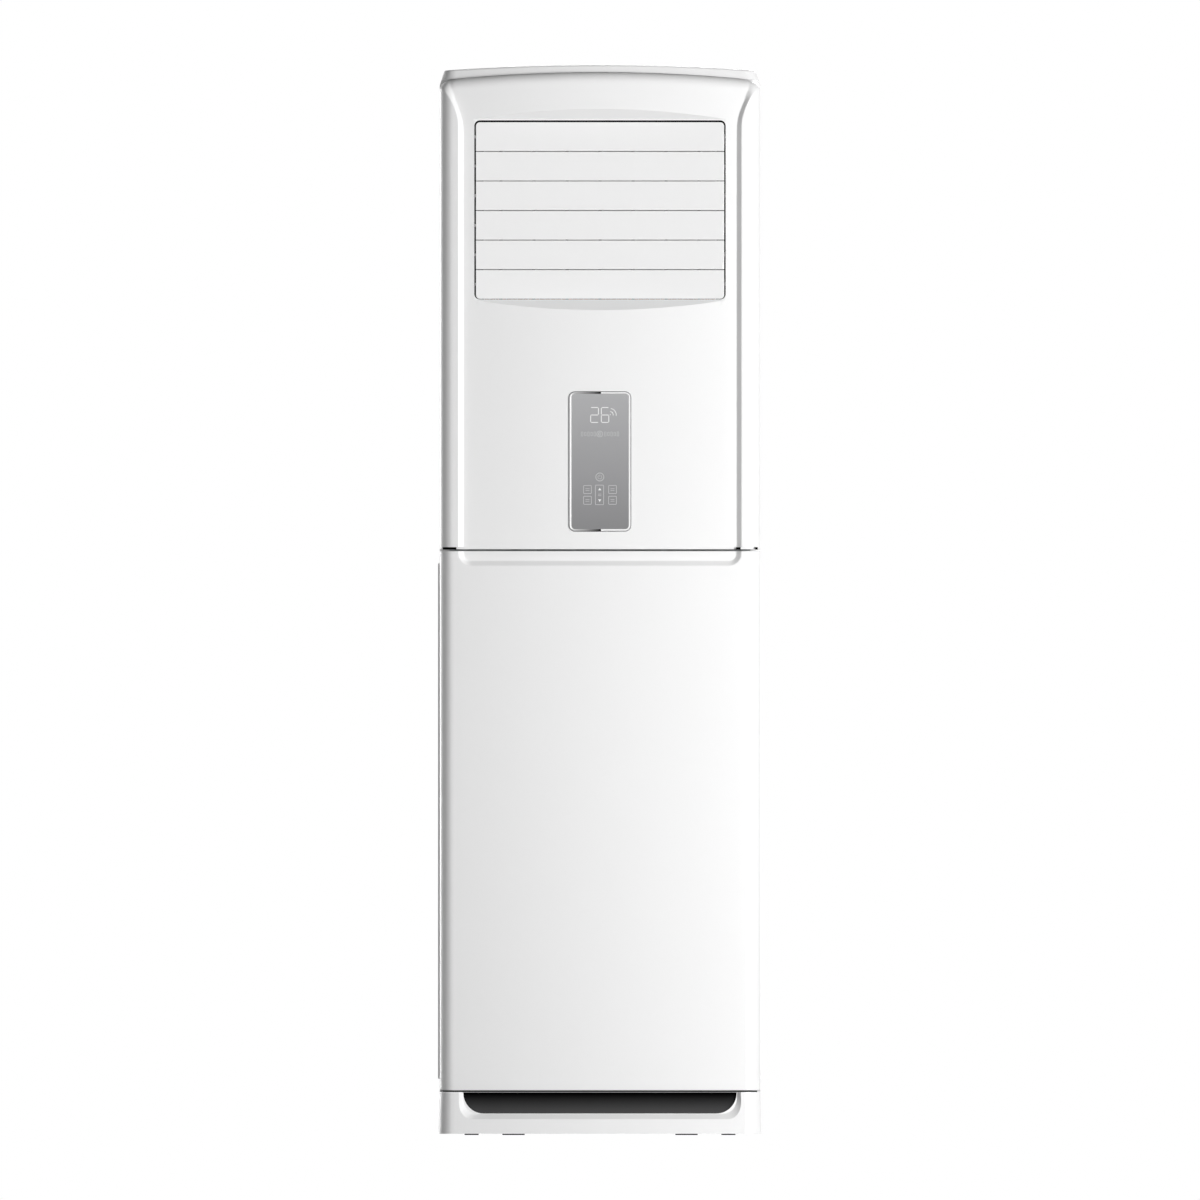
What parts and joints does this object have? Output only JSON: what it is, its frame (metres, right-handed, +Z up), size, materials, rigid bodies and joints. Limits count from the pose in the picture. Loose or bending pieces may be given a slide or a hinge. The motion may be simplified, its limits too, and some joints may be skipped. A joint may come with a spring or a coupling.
{
  "type": "floor standing air conditioner",
  "caption": "Tall white indoor unit with a bowed front, closable louvred outlet at the top, touch display, side intake grilles and a flared plinth with an intake slot.",
  "frame": {"origin": "middle of the body's footprint, at the floor under the rubber pads", "axes": "+Z up, the front faces -Y, +X to the right seen from the front"},
  "size_m": [0.53, 0.3399, 1.75],
  "materials": {
    "shell_white": "moulded, glossy white",
    "louver_white": "moulded, satin white",
    "casing_paint": "white powder coat, fine texture",
    "bezel_chrome": "bright plated",
    "display_glass": "tinted, polished",
    "dark_plastic": "moulded, fine grain",
    "duct_grey": "moulded grey",
    "galvanised": "zinc coated sheet",
    "fin_aluminium": "thin rolled sheet",
    "copper": "drawn tube",
    "union_brass": "turned",
    "hose_rubber": "flexible, matt",
    "foot_rubber": "moulded pad",
    "filter_plastic": "moulded frame with mesh",
    "fan_plastic": "moulded grey",
    "motor_paint": "black enamel",
    "steel": "plated",
    "circuit_green": "laminate",
    "tray_plastic": "moulded foam faced"
  },
  "bodies": {
    "casing": {"upper_front_panel": "shell_white", "lower_front_panel": "shell_white", "top_cover": "shell_white", "plinth": "shell_white", "base_pan": "galvanised", "rubber_feet": "foot_rubber", "side_panel_left": "casing_paint", "side_panel_right": "casing_paint", "side_grille_left": "shell_white", "side_grille_right": "shell_white", "air_filters": "filter_plastic", "back_panel": "casing_paint", "panel_screws": "steel", "pipe_exit_cover": "casing_paint", "wall_bracket": "galvanised", "outlet_frame": "duct_grey", "swing_motors": "steel", "display_bezel": "bezel_chrome", "display_glass": "display_glass", "display_carrier": "dark_plastic", "display_board": "circuit_green", "fan_deck": "galvanised", "front_rail": "galvanised", "drain_tray": "tray_plastic", "evaporator_fins": "fin_aluminium", "evaporator_plates": "galvanised", "evaporator_tubes": "copper", "liquid_pipe": "copper", "gas_pipe": "copper", "flare_unions": "union_brass", "drain_hose": "hose_rubber", "hose_grommet": "foot_rubber", "hose_clips": "dark_plastic", "fan_scroll": "galvanised", "inlet_ring": "galvanised", "fan_motor": "motor_paint", "motor_bracket": "steel", "electrical_box": "galvanised", "electrical_cover": "galvanised", "main_board": "circuit_green", "fan_capacitor": "tray_plastic", "terminal_block": "dark_plastic"},
    "louver_1": {"louver_1": "louver_white"},
    "louver_2": {"louver_2": "louver_white"},
    "louver_3": {"louver_3": "louver_white"},
    "louver_4": {"louver_4": "louver_white"},
    "louver_5": {"louver_5": "louver_white"},
    "louver_6": {"louver_6": "louver_white"},
    "louver_link": {"louver_link": "dark_plastic"},
    "louver_crank": {"louver_crank": "dark_plastic"},
    "deflector_1": {"deflector_1": "duct_grey"},
    "deflector_2": {"deflector_2": "duct_grey"},
    "deflector_3": {"deflector_3": "duct_grey"},
    "deflector_4": {"deflector_4": "duct_grey"},
    "deflector_5": {"deflector_5": "duct_grey"},
    "deflector_6": {"deflector_6": "duct_grey"},
    "deflector_7": {"deflector_7": "duct_grey"},
    "deflector_link": {"deflector_link": "dark_plastic"},
    "fan": {"fan_wheel": "fan_plastic", "fan_shaft": "steel"}
  },
  "joints": [
    {"name": "louver_1_turn", "type": "hinge", "parent": "casing", "child": "louver_1", "pos_m": [0, -0.13455, 1.63283], "axis": [1, 0, 0], "range_deg": [0, 85]},
    {"name": "louver_2_turn", "type": "hinge", "parent": "casing", "child": "louver_2", "pos_m": [0, -0.13455, 1.5845], "axis": [1, 0, 0], "range_deg": [0, 85]},
    {"name": "louver_3_turn", "type": "hinge", "parent": "casing", "child": "louver_3", "pos_m": [0, -0.13455, 1.53617], "axis": [1, 0, 0], "range_deg": [0, 85]},
    {"name": "louver_4_turn", "type": "hinge", "parent": "casing", "child": "louver_4", "pos_m": [0, -0.13455, 1.48783], "axis": [1, 0, 0], "range_deg": [0, 85]},
    {"name": "louver_5_turn", "type": "hinge", "parent": "casing", "child": "louver_5", "pos_m": [0, -0.13455, 1.4395], "axis": [1, 0, 0], "range_deg": [0, 85]},
    {"name": "louver_6_turn", "type": "hinge", "parent": "casing", "child": "louver_6", "pos_m": [0, -0.13455, 1.39117], "axis": [1, 0, 0], "range_deg": [0, 85]},
    {"name": "louver_link_swing", "type": "hinge", "parent": "louver_1", "child": "louver_link", "pos_m": [0.2068, -0.12423, 1.62338], "axis": [1, 0, 0], "range_deg": [-85, 0]},
    {"name": "louver_crank_turn", "type": "hinge", "parent": "casing", "child": "louver_crank", "pos_m": [0.2083, -0.09455, 1.513], "axis": [1, 0, 0], "range_deg": [0, 85]},
    {"name": "deflector_1_turn", "type": "hinge", "parent": "casing", "child": "deflector_1", "pos_m": [-0.162, -0.087, 1.513], "axis": [0, 0, 1], "range_deg": [-35, 35]},
    {"name": "deflector_2_turn", "type": "hinge", "parent": "casing", "child": "deflector_2", "pos_m": [-0.108, -0.087, 1.513], "axis": [0, 0, 1], "range_deg": [-35, 35]},
    {"name": "deflector_3_turn", "type": "hinge", "parent": "casing", "child": "deflector_3", "pos_m": [-0.054, -0.087, 1.513], "axis": [0, 0, 1], "range_deg": [-35, 35]},
    {"name": "deflector_4_turn", "type": "hinge", "parent": "casing", "child": "deflector_4", "pos_m": [0, -0.087, 1.513], "axis": [0, 0, 1], "range_deg": [-35, 35]},
    {"name": "deflector_5_turn", "type": "hinge", "parent": "casing", "child": "deflector_5", "pos_m": [0.054, -0.087, 1.513], "axis": [0, 0, 1], "range_deg": [-35, 35]},
    {"name": "deflector_6_turn", "type": "hinge", "parent": "casing", "child": "deflector_6", "pos_m": [0.108, -0.087, 1.513], "axis": [0, 0, 1], "range_deg": [-35, 35]},
    {"name": "deflector_7_turn", "type": "hinge", "parent": "casing", "child": "deflector_7", "pos_m": [0.162, -0.087, 1.513], "axis": [0, 0, 1], "range_deg": [-35, 35]},
    {"name": "deflector_link_swing", "type": "hinge", "parent": "deflector_1", "child": "deflector_link", "pos_m": [-0.162, -0.073, 1.3732], "axis": [0, 0, 1], "range_deg": [-35, 35]},
    {"name": "fan_spin", "type": "hinge", "parent": "casing", "child": "fan", "pos_m": [-0.03, 0.041, 0.44], "axis": [0, 1, 0], "continuous": true}
  ],
  "couplings": [
    {"joint": "louver_2_turn", "follows": "louver_1_turn", "ratio": 1},
    {"joint": "louver_3_turn", "follows": "louver_1_turn", "ratio": 1},
    {"joint": "louver_4_turn", "follows": "louver_1_turn", "ratio": 1},
    {"joint": "louver_5_turn", "follows": "louver_1_turn", "ratio": 1},
    {"joint": "louver_6_turn", "follows": "louver_1_turn", "ratio": 1},
    {"joint": "louver_link_swing", "follows": "louver_1_turn", "ratio": -1},
    {"joint": "louver_crank_turn", "follows": "louver_1_turn", "ratio": 1},
    {"joint": "deflector_2_turn", "follows": "deflector_1_turn", "ratio": 1},
    {"joint": "deflector_3_turn", "follows": "deflector_1_turn", "ratio": 1},
    {"joint": "deflector_4_turn", "follows": "deflector_1_turn", "ratio": 1},
    {"joint": "deflector_5_turn", "follows": "deflector_1_turn", "ratio": 1},
    {"joint": "deflector_6_turn", "follows": "deflector_1_turn", "ratio": 1},
    {"joint": "deflector_7_turn", "follows": "deflector_1_turn", "ratio": 1},
    {"joint": "deflector_link_swing", "follows": "deflector_1_turn", "ratio": -1}
  ]
}
